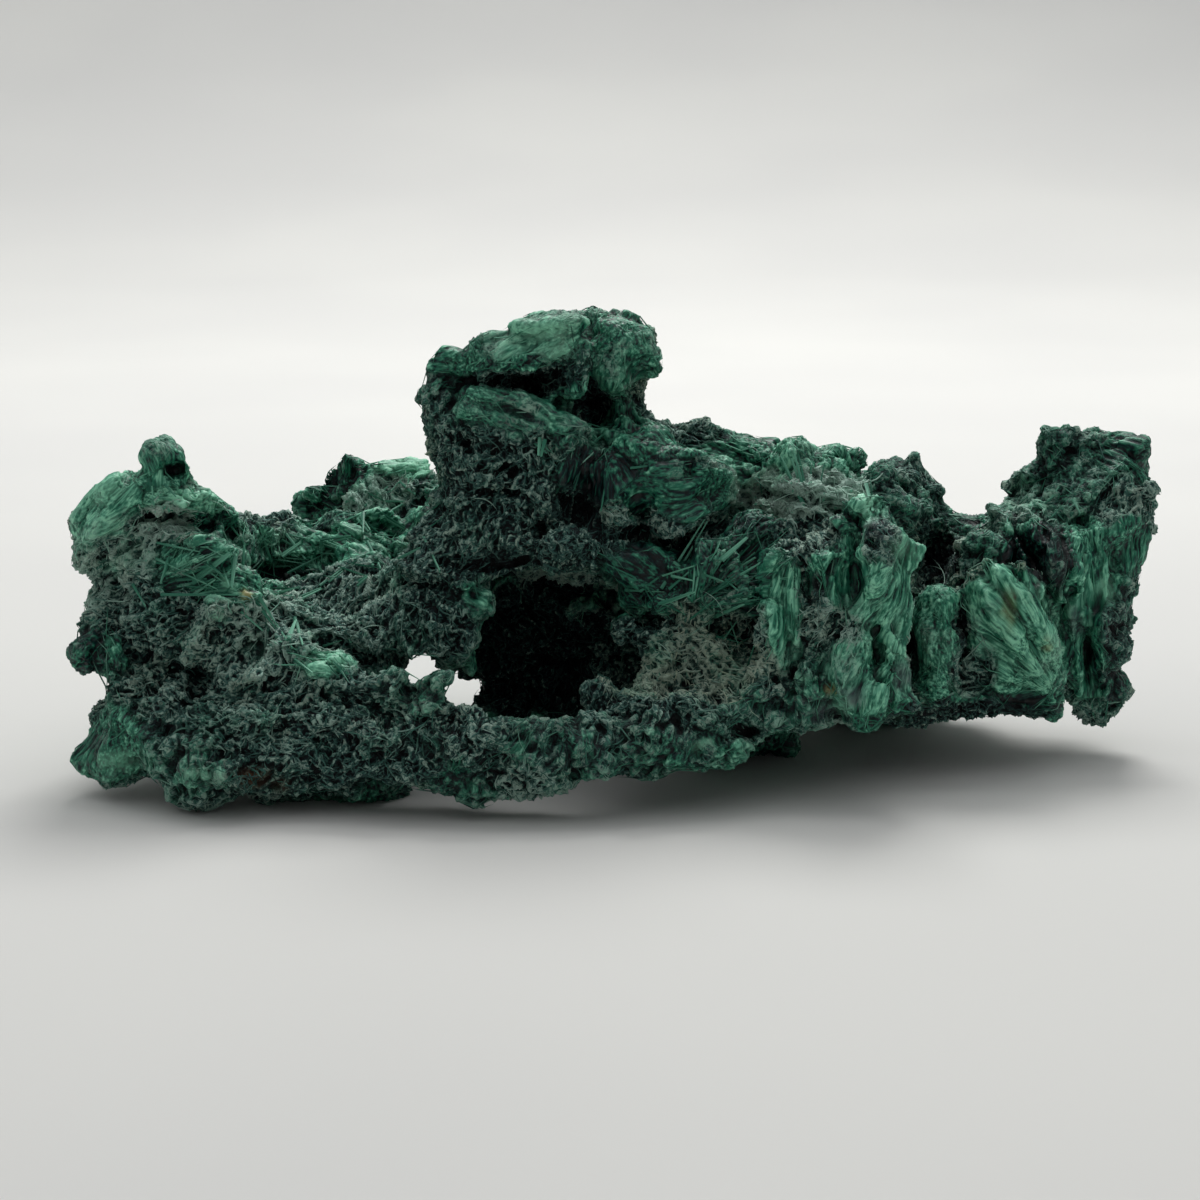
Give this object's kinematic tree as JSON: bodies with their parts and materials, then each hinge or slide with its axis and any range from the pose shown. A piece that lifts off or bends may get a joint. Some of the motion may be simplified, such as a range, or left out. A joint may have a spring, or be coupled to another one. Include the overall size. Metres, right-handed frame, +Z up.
{
  "type": "fibrous malachite specimen",
  "caption": "Rugged free-standing specimen of silky green malachite, with a tower, a saddle, hanging fins and a cave under its middle.",
  "frame": {"origin": "bottom centre of the specimen's box, on the surface it rests on", "axes": "+X along the specimen's length from its tall rounded end to its ribbed end, +Y away from the viewer, +Z up"},
  "size_m": [0.092, 0.042, 0.0384],
  "materials": {
    "malachite": "dull fibrous green with a dark mossy crust and silky broken fans"
  },
  "bodies": {
    "root": {"malachite": "malachite"}
  },
  "joints": []
}
